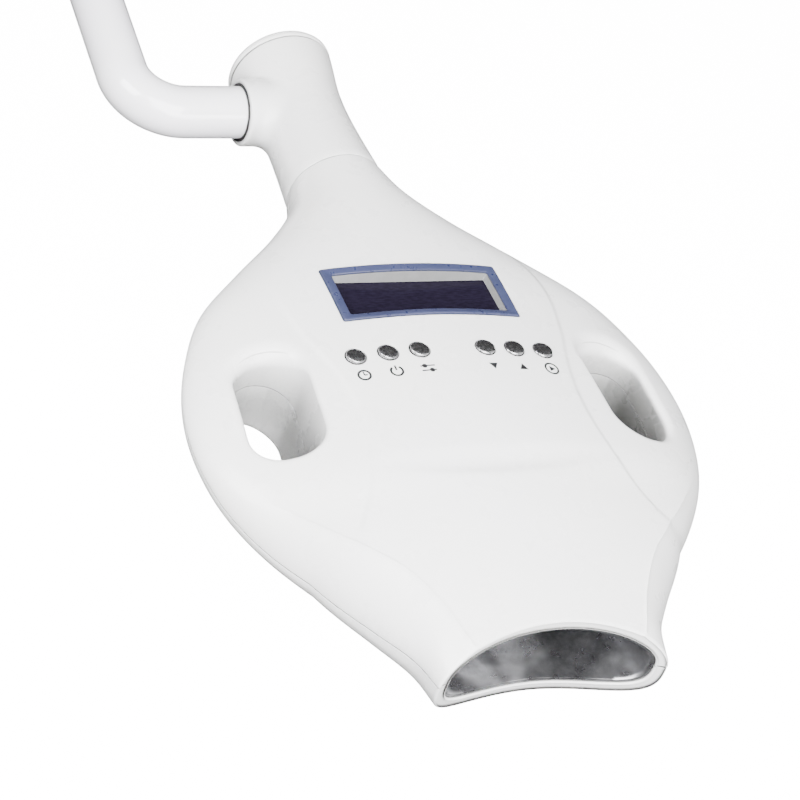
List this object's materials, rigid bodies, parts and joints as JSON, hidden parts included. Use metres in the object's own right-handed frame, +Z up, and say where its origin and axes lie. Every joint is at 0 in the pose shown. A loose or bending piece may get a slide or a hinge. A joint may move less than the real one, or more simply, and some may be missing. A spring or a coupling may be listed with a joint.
{
  "type": "LED whitening lamp head",
  "caption": "Spade-shaped dental LED lamp head with a domed shell, display, push buttons, finger holes and a curved silver-lined mouth, on a tilting, turning neck and bent arm tube.",
  "frame": {"origin": "middle of the flat end face of the arm's spigot, where a stand's arm carries the lamp", "axes": "+Z up out of the display panel, +Y back along the neck and the arm, -Y out of the light mouth, +X to the right as seen from the mouth"},
  "size_m": [0.213, 0.4818, 0.0771],
  "materials": {
    "shell_white": "satin injection-moulded ABS, light neutral white",
    "tube_white": "glossy white powder coat on steel tube",
    "bezel_blue": "satin slate-blue moulded plastic",
    "frame_grey": "light grey moulded plastic",
    "display_glass": "dark, switched-off display cover",
    "chrome": "bright chrome-plated domes",
    "reflector_metal": "vacuum-metallised reflector, slightly mottled",
    "board_green": "green solder mask",
    "black_plastic": "black moulded plastic",
    "rubber_black": "black rubber",
    "nylon_white": "natural nylon",
    "board_white": "white mask on a metal-core board",
    "aluminium": "extruded aluminium",
    "steel": "zinc-plated and turned steel",
    "led_dome": "clear silicone emitter domes"
  },
  "bodies": {
    "arm": {"arm_tube": "tube_white", "arm_end_spigot": "steel", "tilt_washer": "steel", "tilt_nut": "steel"},
    "neck": {"neck_housing": "shell_white", "neck_cap": "shell_white", "tilt_bush": "nylon_white", "tilt_seal": "rubber_black"},
    "head": {"top_shell": "shell_white", "bottom_shell": "shell_white", "display_bezel": "bezel_blue", "display_frame": "frame_grey", "display_window": "display_glass", "lcd_module": "black_plastic", "control_board": "board_green", "switch_time": "black_plastic", "switch_power": "black_plastic", "switch_mode": "black_plastic", "switch_down": "black_plastic", "switch_up": "black_plastic", "switch_start": "black_plastic", "reflector": "reflector_metal", "led_board": "board_white", "led_1": "led_dome", "led_2": "led_dome", "led_3": "led_dome", "led_4": "led_dome", "led_5": "led_dome", "led_6": "led_dome", "heat_sink": "aluminium", "fan_frame": "black_plastic", "swivel_sleeve": "nylon_white", "swivel_retainer": "steel", "shell_screw_1": "steel", "shell_screw_2": "steel", "shell_screw_3": "steel", "shell_screw_4": "steel"},
    "fan": {"fan_rotor": "black_plastic"},
    "button_time": {"button_time": "chrome"},
    "button_power": {"button_power": "chrome"},
    "button_mode": {"button_mode": "chrome"},
    "button_down": {"button_down": "chrome"},
    "button_up": {"button_up": "chrome"},
    "button_start": {"button_start": "chrome"}
  },
  "joints": [
    {"name": "head_tilt", "type": "hinge", "parent": "arm", "child": "neck", "pos_m": [0.0736, -0.17576, -0.02815], "axis": [1, 0, 0], "range_deg": [-90, 90]},
    {"name": "head_turn", "type": "hinge", "parent": "neck", "child": "head", "pos_m": [0.0736, -0.22476, -0.03123], "axis": [0, 0.998, 0.0628], "range_deg": [-90, 90]},
    {"name": "fan_spin", "type": "hinge", "parent": "head", "child": "fan", "pos_m": [0.0736, -0.37876, -0.04294], "axis": [0, 1, 0], "continuous": true},
    {"name": "press_time", "type": "slide", "parent": "head", "child": "button_time", "axis": [0, 0, -1], "range_m": [0, 0.0008], "stiffness_N_per_m": 1500, "springref_m": -0.0004},
    {"name": "press_power", "type": "slide", "parent": "head", "child": "button_power", "axis": [0, 0, -1], "range_m": [0, 0.0008], "stiffness_N_per_m": 1500, "springref_m": -0.0004},
    {"name": "press_mode", "type": "slide", "parent": "head", "child": "button_mode", "axis": [0, 0, -1], "range_m": [0, 0.0008], "stiffness_N_per_m": 1500, "springref_m": -0.0004},
    {"name": "press_down", "type": "slide", "parent": "head", "child": "button_down", "axis": [0, 0, -1], "range_m": [0, 0.0008], "stiffness_N_per_m": 1500, "springref_m": -0.0004},
    {"name": "press_up", "type": "slide", "parent": "head", "child": "button_up", "axis": [0, 0, -1], "range_m": [0, 0.0008], "stiffness_N_per_m": 1500, "springref_m": -0.0004},
    {"name": "press_start", "type": "slide", "parent": "head", "child": "button_start", "axis": [0, 0, -1], "range_m": [0, 0.0008], "stiffness_N_per_m": 1500, "springref_m": -0.0004}
  ]
}
